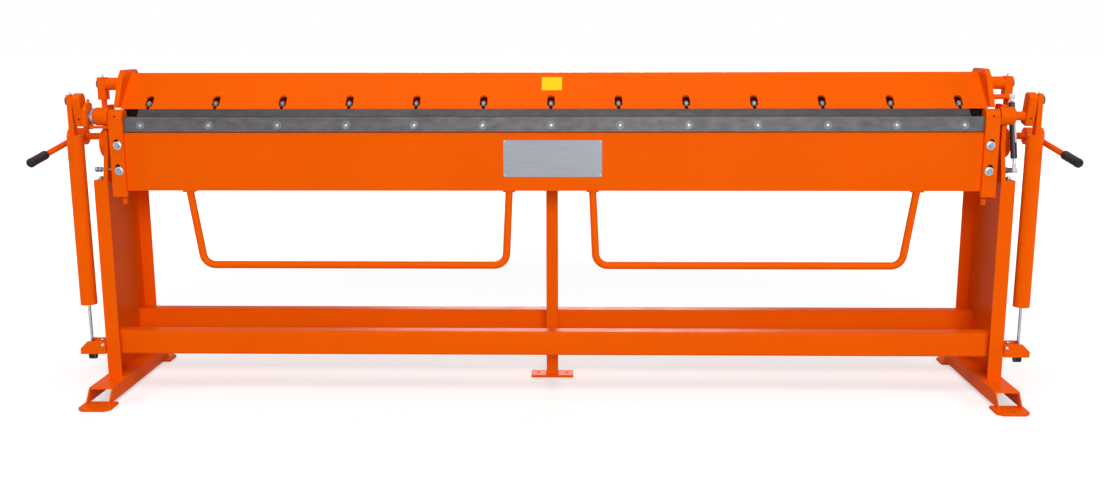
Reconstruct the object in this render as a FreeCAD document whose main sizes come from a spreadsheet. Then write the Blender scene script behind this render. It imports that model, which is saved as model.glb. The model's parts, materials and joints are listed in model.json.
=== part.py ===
import FreeCAD, Part
import math
import os
import Sketcher

Vector = FreeCAD.Vector
Rotation = FreeCAD.Rotation
Placement = FreeCAD.Placement

# Driving dimensions in millimetres. X runs along the machine, Y away from the operator, Z up.
# y = 0 is the middle of the feet and z = 0 the floor. The strip's length and the height of the
# bend line carry the rest of the machine with them.
DIMENSIONS = {
    # Bend line and folding beam
    "bend_back": 103.5,
    "bend_height": 1022.0,
    "strip_half": 1525.0,
    "strip_thick": 15.0,
    "strip_high": 53.0,
    "tool_gap": 1.0,
    "apron_high": 266.0,
    "apron_wall": 12.0,
    "apron_setback": 3.0,
    "apron_lip": 37.0,
    "apron_lip_thick": 8.0,
    "backing_high": 104.0,
    "backing_drop": 19.0,
    "bar_wide": 50.0,
    "bar_proud": 12.0,
    "bar_reach": 20.0,
    "bar_head": 25.0,
    "bar_head_low": 70.0,
    "bar_slot_wide": 18.0,
    "bar_slot_long": 34.0,
    "bar_slot_upper_drop": 96.0,
    "bar_slot_lower_drop": 186.0,
    "shaft_radius": 16.0,
    "running_gap": 0.3,
    # Side plates and legs
    "side_gap": 19.0,
    "side_thick": 15.0,
    "side_front_back": 5.0,
    "side_slope_rise": 120.0,
    "side_shoulder_rise": 38.0,
    "side_shoulder_deep": 78.0,
    "side_corner": 16.0,
    "side_rear_drop": 12.0,
    "hinge_ear_half": 32.0,
    "hinge_ear_rise": 28.0,
    "hinge_ear_root": 60.0,
    "hub_radius": 32.0,
    "hub_inner_reach": 17.0,
    "hub_outer_reach": 21.0,
    "hub_corner": 5.0,
    "leg_wide": 50.0,
    "leg_wall": 5.0,
    "leg_front": 126.5,
    "leg_deep": 383.0,
    "leg_top_drop": 227.0,
    "cap_thick": 14.0,
    "cap_deep": 100.0,
    "foot_wide": 87.0,
    "foot_overhang": 17.0,
    "foot_top": 60.0,
    "foot_wall": 5.0,
    "foot_half_top": 259.0,
    "foot_half_bottom": 300.0,
    "pad_thick": 10.0,
    "pad_half_length": 350.0,
    "pad_deep": 87.0,
    "pad_wide": 116.0,
    "pad_overhang": 28.0,
    "pad_corner": 18.0,
    "anchor_radius": 9.0,
    "anchor_inset": 26.0,
    # Rails and centre post
    "rail_high": 90.0,
    "rail_deep": 60.0,
    "rail_wall": 4.0,
    "rail_corner": 8.0,
    "front_rail_low": 138.0,
    "rear_rail_low": 150.0,
    "rail_inset": 33.0,
    "post_wide": 44.0,
    "post_wall": 4.0,
    "post_back": 109.5,
    "centre_foot_long": 162.0,
    "centre_foot_deep": 70.0,
    "centre_foot_hole": 6.5,
    "centre_foot_pitch": 110.0,
    # Bed
    "bed_setback": 30.0,
    "bed_deep": 190.0,
    "bed_wall": 10.0,
    "bed_drop": 1.0,
    "bed_blade_thick": 12.0,
    "bed_blade_deep": 94.0,
    "blade_inset": 43.0,
    # Counterbalance
    "arm_out": 72.0,
    "arm_thick": 28.5,
    "arm_reach": 58.0,
    "arm_lean": 13.5,
    "arm_end": 24.5,
    "arm_low": 31.0,
    "arm_corner": 11.0,
    "arm_low_corner": 5.0,
    "arm_pin_radius": 10.0,
    "arm_pin_cap": 6.0,
    "hanger_gap": 4.5,
    "hanger_thick": 18.0,
    "hanger_wide": 32.0,
    "hanger_rise": 22.0,
    "tube_offset": 8.5,
    "tube_radius": 29.0,
    "tube_wall": 3.0,
    "tube_cap": 6.0,
    "tube_top_drop": 122.0,
    "tube_clear": 136.4362,
    "rod_radius": 5.5,
    "rod_long": 372.0,
    "rod_eye_back": 108.5,
    "rod_seat_radius": 12.5,
    "rod_seat_wide": 25.0,
    "bracket_low": 150.0,
    "bracket_wide": 92.0,
    "bracket_deep": 60.0,
    "bracket_thick": 6.0,
    "bracket_high": 48.0,
    "bracket_slope": 27.0,
    "bracket_slot_radius": 11.0,
    # Handles under the folding beam
    "handle_tube": 13.5,
    "handle_wall": 2.5,
    "handle_drop": 276.0,
    "handle_bend": 45.0,
    "handle_outer_inset": 217.0,
    "handle_low_inset": 257.0,
    "handle_inner_top": 150.0,
    "handle_inner_low": 164.0,
    "handle_pad": 44.0,
    "handle_pad_deep": 30.0,
    "handle_pad_thick": 6.0,
    # Clamping beam
    "clamp_hinge_back": 216.5,
    "clamp_hinge_rise": 28.0,
    "clamp_hinge_radius": 15.0,
    "clamp_hinge_collar": 23.0,
    "clamp_lip_back": 33.0,
    "clamp_lip_rise": 24.0,
    "clamp_rise": 124.0,
    "clamp_deep": 190.0,
    "clamp_plate": 10.0,
    "clamp_overlap": 26.5,
    "clamp_end_thick": 18.0,
    "clamp_end_low_rise": 29.5,
    "clamp_end_rise": 161.0,
    "clamp_end_front": 15.0,
    "clamp_end_lean": 56.0,
    "clamp_end_corner": 26.0,
    "clamp_end_corner_deep": 28.0,
    "clamp_end_heel": 40.0,
    "clamp_end_ear": 24.0,
    "clamp_end_rear": 10.0,
    "clamp_end_rear_rise": 40.0,
    "clamp_end_top_deep": 210.0,
    "clamp_blade_deep": 75.0,
    "clamp_blade_edge": 1.0,
    "window_end_inset": 28.8,
    "window_wide": 27.0,
    "window_low": 20.0,
    "window_high": 51.0,
    # Clamping drive
    "lift_back": 21.5,
    "lift_rise": 110.0,
    "lift_boss_radius": 23.0,
    "lift_boss_out": 37.0,
    "lift_pin_radius": 11.0,
    "link_thick": 28.0,
    "link_gap": 1.0,
    "link_head": 19.0,
    "link_head_up": 24.0,
    "link_head_down": 57.0,
    "link_rod_radius": 10.0,
    "cam_drop": 82.0,
    "cam_offset": 25.0,
    "cam_radius": 40.0,
    "cam_thick": 17.0,
    "strap_gap": 7.5,
    "strap_wall": 5.0,
    "strap_thick": 19.0,
    "cam_shaft_radius": 12.5,
    "lever_out": 157.0,
    "lever_radius": 10.5,
    "lever_forward": 305.0,
    "lever_down": 67.0,
    "lever_side": 43.0,
    "lever_knuckle": 31.0,
    "grip_radius": 16.0,
    "grip_long": 101.0,
    "grip_round": 5.0,
    # Gas spring
    "gas_out": 50.0,
    "gas_top_back": 31.0,
    "gas_top_rise": 63.0,
    "gas_low_back": 107.0,
    "gas_low_drop": 192.0,
    "gas_radius": 11.5,
    "gas_rod_shown": 44.0,
    "gas_rod_hidden": 150.0,
    "gas_rod_radius": 5.0,
    "gas_bore_gap": 0.6,
    "gas_eye": 9.0,
    "gas_neck": 5.5,
    "gas_neck_long": 22.0,
    "gas_stud": 5.0,
    "gas_stud_base": 9.0,
    # Bend angle stop
    "stop_ring_radius": 29.0,
    "stop_ring_thick": 15.0,
    "stop_thick": 14.0,
    "stop_radius": 50.0,
    "stop_flat": 45.0,
    "stop_flat_top": 6.0,
    "stop_flat_low": 30.0,
    "stop_low": 45.0,
    "stop_rear": 15.0,
    "stop_rear_top": 45.0,
    "stop_rear_low": 40.0,
    "stop_knob_radius": 5.0,
    "stop_knob_high": 16.0,
    "stop_rod_radius": 5.0,
    "stop_rod_reach": 44.0,
    "stop_rod_angle": 55.0,
    "stop_rod_clear": 5.5,
    "stop_rod_end": 7.0,
}
HALF_ROOT = math.sqrt(0.5)
WINDOWS_EACH_SIDE = 6
STOP_RIM_ANGLES = (90, 110, 130, 150)

doc = FreeCAD.newDocument("sheet_metal_brake")
sheet = doc.addObject("Spreadsheet::Sheet", "sizes")
for row, (name, number) in enumerate(DIMENSIONS.items(), start=1):
    sheet.set(f"A{row}", name)
    sheet.set(f"B{row}", str(number))
    sheet.setAlias(f"B{row}", name)
doc.recompute()


class Size:
    """A length that knows its number and the sheet expression it comes from."""

    def __init__(self, number, text):
        self.number = number
        self.text = text

    def __add__(self, other):
        other = as_size(other)
        return Size(self.number + other.number, f"({self.text} + {other.text})")

    def __sub__(self, other):
        other = as_size(other)
        return Size(self.number - other.number, f"({self.text} - {other.text})")

    def __mul__(self, other):
        other = as_size(other)
        return Size(self.number * other.number, f"({self.text} * {other.text})")

    def __truediv__(self, other):
        other = as_size(other)
        return Size(self.number / other.number, f"({self.text} / {other.text})")

    def __radd__(self, other):
        return as_size(other) + self

    def __rsub__(self, other):
        return as_size(other) - self

    def __rmul__(self, other):
        return as_size(other) * self

    def __neg__(self):
        return Size(-self.number, f"(0 - {self.text})")


def as_size(thing):
    return thing if isinstance(thing, Size) else Size(float(thing), f"{float(thing)}")


def cosine(angle):
    return Size(math.cos(math.radians(angle.number)), f"cos({angle.text} * 1 deg)")


def sine(angle):
    return Size(math.sin(math.radians(angle.number)), f"sin({angle.text} * 1 deg)")


class Sizes:
    """The sheet's values, each read as an attribute."""

    def __getattr__(self, name):
        return Size(float(sheet.get(name)), f"sizes.{name}")


s = Sizes()
parts = []


def keep(thing, label):
    """Name a finished sub-part, so that it is written to its own file."""
    thing.Label = label
    parts.append(thing)
    return thing


def bind(thing, **sizes):
    for name, size in sizes.items():
        thing.setExpression(name, as_size(size).text)


def move(thing, x=None, y=None, z=None):
    for axis, size in (("x", x), ("y", y), ("z", z)):
        if size is not None:
            thing.setExpression(f"Placement.Base.{axis}", as_size(size).text)


def box(x, y, z, length, width, height):
    solid = doc.addObject("Part::Box", "block")
    bind(solid, Length=length, Width=width, Height=height)
    move(solid, x, y, z)
    return solid


ALONG = {"x": Rotation(Vector(0, 1, 0), 90), "y": Rotation(Vector(1, 0, 0), -90), "z": Rotation()}


def slanted_rod(turn, x, y, z, radius, length):
    """A cylinder from the given start, along the z axis as the turn leaves it."""
    solid = doc.addObject("Part::Cylinder", "round")
    bind(solid, Radius=radius, Height=length)
    solid.Placement = Placement(Vector(), turn)
    move(solid, x, y, z)
    return solid


def rod(axis, x, y, z, radius, length):
    return slanted_rod(ALONG[axis], x, y, z, radius, length)


def near_x(side, inner, thick):
    """The lower X of a piece that starts at inner from the middle, on the given side."""
    return as_size(inner) if side > 0 else -(inner + thick)


def side_rod(side, inner, length, y, z, radius):
    return rod("x", near_x(side, inner, length), y, z, radius, length)


def cone(turn, x, y, z, first_radius, last_radius, length):
    """A cone cut short, from the given start along the z axis as the turn leaves it."""
    solid = doc.addObject("Part::Cone", "taper")
    bind(solid, Radius1=first_radius, Radius2=last_radius, Height=length)
    solid.Placement = Placement(Vector(), turn)
    move(solid, x, y, z)
    return solid


def side_cone(side, inner, length, y, z, inner_radius, outer_radius):
    x = near_x(side, inner, length)
    if side > 0:
        return cone(ALONG["x"], x, y, z, inner_radius, outer_radius, length)
    return cone(ALONG["x"], x, y, z, outer_radius, inner_radius, length)


def fuse(*solids):
    joined = doc.addObject("Part::MultiFuse", "joined")
    joined.Shapes = list(solids)
    joined.Refine = True
    return joined


def cut(base, *tools):
    result = doc.addObject("Part::Cut", "trimmed")
    result.Base = base
    result.Tool = tools[0] if len(tools) == 1 else fuse(*tools)
    return result


def compound(*solids):
    group = doc.addObject("Part::Compound", "group")
    group.Links = list(solids)
    return group


def draw(body, plane, points):
    """A closed outline on one of the body's own planes, each corner held by two bound distances."""
    sketch = body.newObject("Sketcher::SketchObject", body.Name + "_outline")
    face = next(item for item in body.Origin.OriginFeatures if item.Role == plane)
    sketch.AttachmentSupport = [(face, "")]
    sketch.MapMode = "FlatFace"
    corners = [Vector(as_size(x).number, as_size(y).number, 0) for x, y in points]
    count = len(corners)
    for index in range(count):
        sketch.addGeometry(Part.LineSegment(corners[index], corners[(index + 1) % count]), False)
    for index in range(count):
        sketch.addConstraint(Sketcher.Constraint("Coincident", index, 2, (index + 1) % count, 1))
    for index, point in enumerate(points):
        for kind, size in zip(("DistanceX", "DistanceY"), point):
            size = as_size(size)
            place = sketch.addConstraint(Sketcher.Constraint(kind, -1, 1, index, 1, size.number))
            sketch.setExpression(f"Constraints[{place}]", size.text)
    return sketch


def profile(plane, points, length):
    """A body made by padding an outline along the plane's normal."""
    body = doc.addObject("PartDesign::Body", "profile")
    sketch = draw(body, plane, points)
    pad = body.newObject("PartDesign::Pad", body.Name + "_pad")
    pad.Profile = sketch
    bind(pad, Length=length)
    return body


def side_profile(points, x, length):
    """A profile seen from the side, points as (y, z), standing from x along the machine."""
    body = profile("YZ_Plane", points, length)
    move(body, x=x)
    return body


def front_profile(points, y, length):
    """A profile seen from the front, points as (x, z), standing from y away from the operator."""
    body = profile("XZ_Plane", points, length)
    move(body, y=y + length)
    return body


def rounded_tube(y, z, half, deep, high, wall, corner):
    """A rectangular tube along the machine, its four long edges rounded."""
    body = side_profile([(y, z), (y + deep, z), (y + deep, z + high), (y, z + high)], -half, 2 * half)
    doc.recompute()
    pad = body.Tip
    edges = [
        f"Edge{index}" for index, edge in enumerate(pad.Shape.Edges, start=1)
        if edge.BoundBox.XLength > half.number
    ]
    fillet = body.newObject("PartDesign::Fillet", body.Name + "_corners")
    fillet.Base = (pad, edges)
    bind(fillet, Radius=corner)
    bore = box(-half - 1, y + wall, z + wall, 2 * half + 2, deep - 2 * wall, high - 2 * wall)
    return cut(body, bore)


SIDES = (("left", -1), ("right", 1))

# Places that several pieces share: y and z as they stand, the rest as distances from the middle.
bend_y = -s.bend_back
bend_z = s.bend_height
strip_front_y = bend_y - s.strip_thick
apron_front_y = strip_front_y + s.apron_setback
apron_low_z = bend_z - s.apron_high
bar_inner = s.strip_half + s.tool_gap
bar_outer = bar_inner + s.bar_wide
side_inner = bar_outer + s.side_gap
side_outer = side_inner + s.side_thick
leg_outer = side_inner + s.leg_wide
leg_front_y = -s.leg_front
leg_rear_y = s.leg_deep - s.leg_front
leg_top_z = bend_z - s.leg_top_drop
hub_end = side_outer + s.hub_outer_reach
blade_half = s.strip_half - s.blade_inset
bed_front_y = bend_y + s.bed_setback
bed_low_z = leg_top_z - s.cap_thick
bed_top_z = bend_z - s.bed_drop - s.bed_blade_thick
post_y = s.post_back - s.post_wide / 2
arm_inner = side_inner + s.arm_out
arm_outer = arm_inner + s.arm_thick
arm_pin_y = bend_y - s.arm_reach * sine(s.arm_lean)
arm_pin_z = bend_z + s.arm_reach * cosine(s.arm_lean)
tube_middle = arm_outer + s.tube_offset
rod_eye_y = -s.rod_eye_back
rod_eye_z = s.bracket_low - s.running_gap - s.rod_seat_radius
hinge_y = s.clamp_hinge_back
hinge_z = bend_z + s.clamp_hinge_rise
clamp_half = s.strip_half + s.clamp_overlap
clamp_outer = clamp_half + s.clamp_end_thick
lip_y = bend_y + s.clamp_lip_back
lip_z = bend_z + s.clamp_lip_rise
lift_z = bend_z + s.lift_rise
lift_boss_end = side_inner + s.lift_boss_out
cam_z = bend_z - s.cam_drop
strap_z = cam_z - s.cam_offset
lever_start = side_inner + s.lever_out
gas_middle = side_inner + s.gas_out
gas_top_z = bend_z + s.gas_top_rise
gas_low_z = bend_z - s.gas_low_drop


def legs():
    """Folded channel legs, open towards the middle, each under a pair of welded caps."""
    caps = []
    for name, side in SIDES:
        inner = side * side_inner
        outer = side * leg_outer
        web = outer - side * s.leg_wall
        corners = [
            (inner, leg_front_y), (outer, leg_front_y), (outer, leg_rear_y), (inner, leg_rear_y),
            (inner, leg_rear_y - s.leg_wall), (web, leg_rear_y - s.leg_wall),
            (web, leg_front_y + s.leg_wall), (inner, leg_front_y + s.leg_wall),
        ]
        leg = profile("XY_Plane", corners, leg_top_z - s.cap_thick - s.foot_top)
        move(leg, z=s.foot_top)
        keep(leg, f"leg_{name}")
        for y in (leg_front_y, leg_rear_y - s.cap_deep):
            x = near_x(side, side_inner, s.leg_wide)
            caps.append(box(x, y, leg_top_z - s.cap_thick, s.leg_wide, s.cap_deep, s.cap_thick))
    keep(compound(*caps), "leg_caps")


def foot_pad(side, end):
    """One anchor pad with clipped outer corners and its anchor hole."""
    left = near_x(side, leg_outer + s.pad_overhang - s.pad_wide, s.pad_wide)
    right = left + s.pad_wide
    tip = end * s.pad_half_length
    root = end * (s.pad_half_length - s.pad_deep)
    shoulder = end * (s.pad_half_length - s.pad_corner)
    corners = [
        (left, root), (right, root), (right, shoulder), (right - s.pad_corner, tip),
        (left + s.pad_corner, tip), (left, shoulder),
    ]
    middle = left + s.pad_wide / 2
    hole_y = end * (s.pad_half_length - s.anchor_inset)
    hole = rod("z", middle, hole_y, -1, s.anchor_radius, s.pad_thick + 2)
    return cut(profile("XY_Plane", corners, s.pad_thick), hole)


def feet():
    """Channel runners with bevelled open ends, on their anchor pads."""
    pads = []
    for name, side in SIDES:
        x = near_x(side, leg_outer + s.foot_overhang - s.foot_wide, s.foot_wide)
        outline = [
            (-s.foot_half_bottom, s.pad_thick), (s.foot_half_bottom, s.pad_thick),
            (s.foot_half_top, s.foot_top), (-s.foot_half_top, s.foot_top),
        ]
        runner = side_profile(outline, x, s.foot_wide)
        hollow = box(
            x + s.foot_wall, -s.pad_half_length, s.pad_thick - 1,
            s.foot_wide - 2 * s.foot_wall, 2 * s.pad_half_length,
            s.foot_top - s.pad_thick - s.foot_wall + 1,
        )
        keep(cut(runner, hollow), f"foot_{name}")
        pads += [foot_pad(side, end) for end in (-1, 1)]
    keep(compound(*pads), "foot_plates")


def rails():
    """Tubular rails with rounded edges between the webs of the legs."""
    half = leg_outer - s.leg_wall
    places = (
        ("front_rail", leg_front_y + s.rail_inset, s.front_rail_low),
        ("rear_rail", leg_rear_y - s.leg_wall - s.rail_deep, s.rear_rail_low),
    )
    for name, y, z in places:
        keep(rounded_tube(y, z, half, s.rail_deep, s.rail_high, s.rail_wall, s.rail_corner), name)


def centre_post():
    """The middle post between its own anchored foot and the underside of the bed."""
    wall = s.post_wall
    inner = s.post_wide - 2 * wall
    high = leg_top_z - s.cap_thick - s.pad_thick
    post = box(-s.post_wide / 2, post_y, s.pad_thick, s.post_wide, s.post_wide, high)
    bore = box(-inner / 2, post_y + wall, s.pad_thick - 1, inner, inner, high + 2)
    keep(cut(post, bore), "centre_post")
    middle_y = post_y + s.post_wide / 2
    plate = box(
        -s.centre_foot_long / 2, middle_y - s.centre_foot_deep / 2, 0,
        s.centre_foot_long, s.centre_foot_deep, s.pad_thick,
    )
    holes = [
        rod("z", end * s.centre_foot_pitch / 2, middle_y, -1, s.centre_foot_hole, s.pad_thick + 2)
        for end in (-1, 1)
    ]
    keep(cut(plate, *holes), "centre_foot")


def side_plates():
    """Side plates on the leg caps: front edge sloped at the foot, a hub at the bend line."""
    front = bend_y + s.side_front_back
    rear_top = bend_z - s.side_rear_drop
    ear_top = hinge_z + s.hinge_ear_rise
    shoulder = bend_z + s.side_shoulder_rise
    outline = [
        (leg_front_y, leg_top_z), (leg_rear_y, leg_top_z), (leg_rear_y, rear_top),
        (hinge_y + s.hinge_ear_half, ear_top), (hinge_y - s.hinge_ear_half, ear_top),
        (hinge_y - s.hinge_ear_root, rear_top), (front + s.side_shoulder_deep + s.side_corner, rear_top),
        (front + s.side_shoulder_deep, shoulder), (front + s.side_corner, shoulder),
        (front, shoulder - s.side_corner), (front, leg_top_z + s.side_slope_rise),
    ]
    for name, side in SIDES:
        x = near_x(side, side_inner, s.side_thick)
        hub_inner = side_inner - s.hub_inner_reach
        hub_long = hub_end - hub_inner
        corner = s.hub_corner
        hub_tip = s.hub_radius - corner
        solids = [
            side_profile(outline, x, s.side_thick),
            side_rod(side, hub_inner, hub_long - corner, bend_y, bend_z, s.hub_radius),
            side_cone(side, hub_end - corner, corner, bend_y, bend_z, s.hub_radius, hub_tip),
        ]
        if side > 0:
            stud_out = gas_middle - s.gas_eye - s.running_gap
            base_long = stud_out - side_outer
            stud_long = gas_middle + s.gas_eye - side_outer
            solids.append(side_rod(side, side_outer, base_long, -s.gas_low_back, gas_low_z, s.gas_stud_base))
            solids.append(side_rod(side, side_outer, stud_long, -s.gas_low_back, gas_low_z, s.gas_stud))
        holes = [side_rod(side, hub_inner - 1, hub_long + 2, bend_y, bend_z, s.shaft_radius + s.running_gap)]
        for y, z, radius in (
            (s.lift_back, cam_z, s.cam_shaft_radius), (hinge_y, hinge_z, s.clamp_hinge_radius),
        ):
            holes.append(side_rod(side, side_inner - 1, s.side_thick + 2, y, z, radius + s.running_gap))
        keep(cut(fuse(*solids), *holes), f"side_plate_{name}")


def bed():
    """The bed: a front and a rear plate under a top plate, with a hard blade at the bend line."""
    wall = s.bed_wall
    high = bed_top_z - wall - bed_low_z
    rear_y = bed_front_y + s.bed_deep
    keep(box(-side_inner, bed_front_y, bed_low_z, 2 * side_inner, wall, high), "bed_front")
    keep(box(-side_inner, rear_y - wall, bed_low_z, 2 * side_inner, wall, high), "bed_rear")
    keep(box(-side_inner, bed_front_y, bed_top_z - wall, 2 * side_inner, s.bed_deep, wall), "bed_top")
    blade = box(
        -blade_half, bend_y + s.tool_gap, bed_top_z, 2 * blade_half, s.bed_blade_deep, s.bed_blade_thick,
    )
    keep(blade, "bed_blade")


def folding_beam():
    """The apron: a folded plate with a backing bar, and the hard strip along its top edge."""
    front = apron_front_y
    wall = s.apron_wall
    lip_top = apron_low_z + s.apron_lip_thick
    strip_low = bend_z - s.bed_drop - s.strip_high
    backing_top = bend_z - s.backing_drop
    backing_low = backing_top - s.backing_high
    outline = [
        (front, apron_low_z), (front + s.apron_lip, apron_low_z), (front + s.apron_lip, lip_top),
        (front + wall, lip_top), (front + wall, backing_low), (front + 2 * wall, backing_low),
        (front + 2 * wall, backing_top), (bend_y, backing_top), (bend_y, strip_low), (front, strip_low),
    ]
    plate = side_profile(outline, -bar_outer, 2 * bar_outer)
    notch_low = bend_z - s.bar_head_low - s.tool_gap
    notches = [
        box(
            near_x(side, s.strip_half, s.bar_wide + 2), front - 1, notch_low,
            s.bar_wide + 2, 3 * wall, bend_z - notch_low,
        )
        for name, side in SIDES
    ]
    keep(cut(plate, *notches), "apron_plate")
    strip = box(
        -s.strip_half, strip_front_y, strip_low, 2 * s.strip_half, s.strip_thick, s.strip_high,
    )
    keep(strip, "bending_strip")


def end_bars():
    """Upright bars with slots that carry the apron, a round head at the bend line on each."""
    front = strip_front_y - s.bar_proud
    low = apron_low_z - s.bar_reach
    thick = apron_front_y - front
    radius = s.bar_slot_wide / 2
    straight = s.bar_slot_long / 2 - radius
    for name, side in SIDES:
        x = near_x(side, bar_inner, s.bar_wide)
        flat = box(x, front, low, s.bar_wide, thick, bend_z - low)
        head_deep = bend_y + s.bar_head - apron_front_y
        head = box(x, apron_front_y, bend_z - s.bar_head_low, s.bar_wide, head_deep, s.bar_head_low)
        crown = rod("x", x, bend_y, bend_z, s.bar_head, s.bar_wide)
        middle = x + s.bar_wide / 2
        slots = []
        for z in (bend_z - s.bar_slot_upper_drop, bend_z - s.bar_slot_lower_drop):
            slots.append(box(
                middle - radius, front - 1, z - straight, s.bar_slot_wide, thick + 2, 2 * straight,
            ))
            for end in (-1, 1):
                slots.append(rod("y", middle, front - 1, z + end * straight, radius, thick + 2))
        keep(cut(fuse(flat, head, crown), *slots), f"end_bar_{name}")


def pivots():
    """Pivot shafts through the hubs, and the counterbalance arms on their outer ends."""
    half = s.arm_end
    tip = s.arm_reach + half
    low_edge = half - s.arm_low_corner
    top_edge = half - s.arm_corner
    low_side = s.arm_low_corner - s.arm_low
    top_side = tip - s.arm_corner
    outline = [
        (-low_edge, -s.arm_low), (low_edge, -s.arm_low), (half, low_side), (half, top_side),
        (top_edge, tip), (-top_edge, tip), (-half, top_side), (-half, low_side),
    ]
    shafts = []
    arms = []
    for name, side in SIDES:
        shafts.append(side_rod(side, bar_outer, arm_inner - bar_outer, bend_y, bend_z, s.shaft_radius))
        arm = profile("YZ_Plane", outline, s.arm_thick)
        arm.Placement = Placement(Vector(), Rotation(Vector(1, 0, 0), s.arm_lean.number))
        arm.setExpression("Placement.Rotation.Angle", f"{s.arm_lean.text} * 1 deg")
        move(arm, near_x(side, arm_inner, s.arm_thick), bend_y, bend_z)
        pin_long = s.hanger_gap + s.hanger_thick + s.arm_pin_cap
        arms.append(fuse(arm, side_rod(side, arm_outer, pin_long, arm_pin_y, arm_pin_z, s.arm_pin_radius)))
    keep(compound(*shafts), "pivot_shafts")
    keep(compound(*arms), "balance_arms")


def bent_bar(points, bend, radius):
    """A round bar along straight runs joined by arcs, as one swept solid."""
    edges = []
    start = points[0]
    for before, corner, after in zip(points, points[1:], points[2:]):
        back = (before - corner).normalize()
        ahead = (after - corner).normalize()
        turn = math.pi - back.getAngle(ahead)
        reach = bend * math.tan(turn / 2)
        middle_way = (back + ahead).normalize()
        centre = corner + middle_way * (bend / math.cos(turn / 2))
        first = corner + back * reach
        last = corner + ahead * reach
        middle = centre - middle_way * bend
        edges.append(Part.LineSegment(start, first).toShape())
        edges.append(Part.Arc(first, middle, last).toShape())
        start = last
    edges.append(Part.LineSegment(start, points[-1]).toShape())
    circle = Part.makeCircle(radius, points[0], points[1] - points[0])
    return Part.Wire(edges).makePipeShell([Part.Wire([circle])], True, True)


def handles():
    """Two pull loops of bent tube under the apron, each welded on by small pads."""
    y = (apron_front_y + s.apron_lip / 2).number
    top = apron_low_z.number
    low = top - s.handle_drop.number
    pad_wide = s.handle_pad.number
    pad_deep = s.handle_pad_deep.number
    pad_low = top - s.handle_pad_thick.number
    for name, side in SIDES:
        outer = side * (s.strip_half - s.handle_outer_inset).number
        outer_low = side * (s.strip_half - s.handle_low_inset).number
        inner = side * s.handle_inner_top.number
        inner_low = side * s.handle_inner_low.number
        corners = [
            Vector(outer, y, top), Vector(outer_low, y, low),
            Vector(inner_low, y, low), Vector(inner, y, top),
        ]
        loop = bent_bar(corners, s.handle_bend.number, s.handle_tube.number)
        bore = bent_bar(corners, s.handle_bend.number, (s.handle_tube - s.handle_wall).number)
        span = abs(outer) + pad_wide
        above = Part.makeBox(2 * span, pad_deep, pad_wide, Vector(-span, y - pad_deep / 2, pad_low))
        loop = loop.cut(bore).cut(above)
        for x in (outer, inner):
            corner = Vector(x - pad_wide / 2, y - pad_deep / 2, pad_low)
            loop = loop.fuse(Part.makeBox(pad_wide, pad_deep, top - pad_low, corner))
        handle = doc.addObject("Part::Feature", "loop")
        handle.Shape = loop.removeSplitter()
        keep(handle, f"handle_{name}")


def windows():
    """Round-ended slots square to the leaning front plate, for its blade screws."""
    across = Rotation(Vector(1, 0, 0), -135)
    radius = s.window_wide / 2
    depth = 3 * s.clamp_plate
    pitch = (blade_half - s.window_end_inset) / WINDOWS_EACH_SIDE
    tools = []
    for index in range(-WINDOWS_EACH_SIDE, WINDOWS_EACH_SIDE + 1):
        x = index * pitch
        for along in (s.window_low, s.window_high):
            y = lip_y + (along - s.clamp_plate) * HALF_ROOT
            z = lip_z + (along + s.clamp_plate) * HALF_ROOT
            tools.append(slanted_rod(across, x, y, z, radius, depth))
        straight = box(x - radius, y, z, s.window_wide, s.window_high - s.window_low, depth)
        straight.Placement.Rotation = across
        tools.append(straight)
    return tools


def clamping_beam():
    """The clamping beam: a leaning front plate with windows, a floor and a back plate."""
    wall = s.clamp_plate
    slant = wall / HALF_ROOT
    top_y = lip_y + s.clamp_rise
    top_z = lip_z + s.clamp_rise
    outline = [(lip_y, lip_z), (lip_y + slant, lip_z), (top_y + slant, top_z), (top_y, top_z)]
    front = side_profile(outline, -clamp_half, 2 * clamp_half)
    keep(cut(front, *windows()), "clamp_front_plate")
    floor_y = lip_y + slant
    ridge_y = top_y + slant
    rear = lip_y + s.clamp_deep
    outline = [
        (floor_y, lip_z), (floor_y + wall, lip_z + wall), (rear - wall, lip_z + wall),
        (ridge_y - wall, top_z - wall), (ridge_y, top_z), (ridge_y + wall, top_z), (rear, lip_z),
    ]
    keep(side_profile(outline, -clamp_half, 2 * clamp_half), "clamp_back")
    nose = bend_y + s.tool_gap
    top = lip_z - s.running_gap
    outline = [
        (nose + s.clamp_blade_edge, bend_z), (nose + s.clamp_blade_deep, bend_z),
        (nose + s.clamp_blade_deep, top), (nose + s.clamp_blade_edge + s.clamp_lip_rise, top),
    ]
    keep(side_profile(outline, -blade_half, 2 * blade_half), "clamp_blade")


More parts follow.
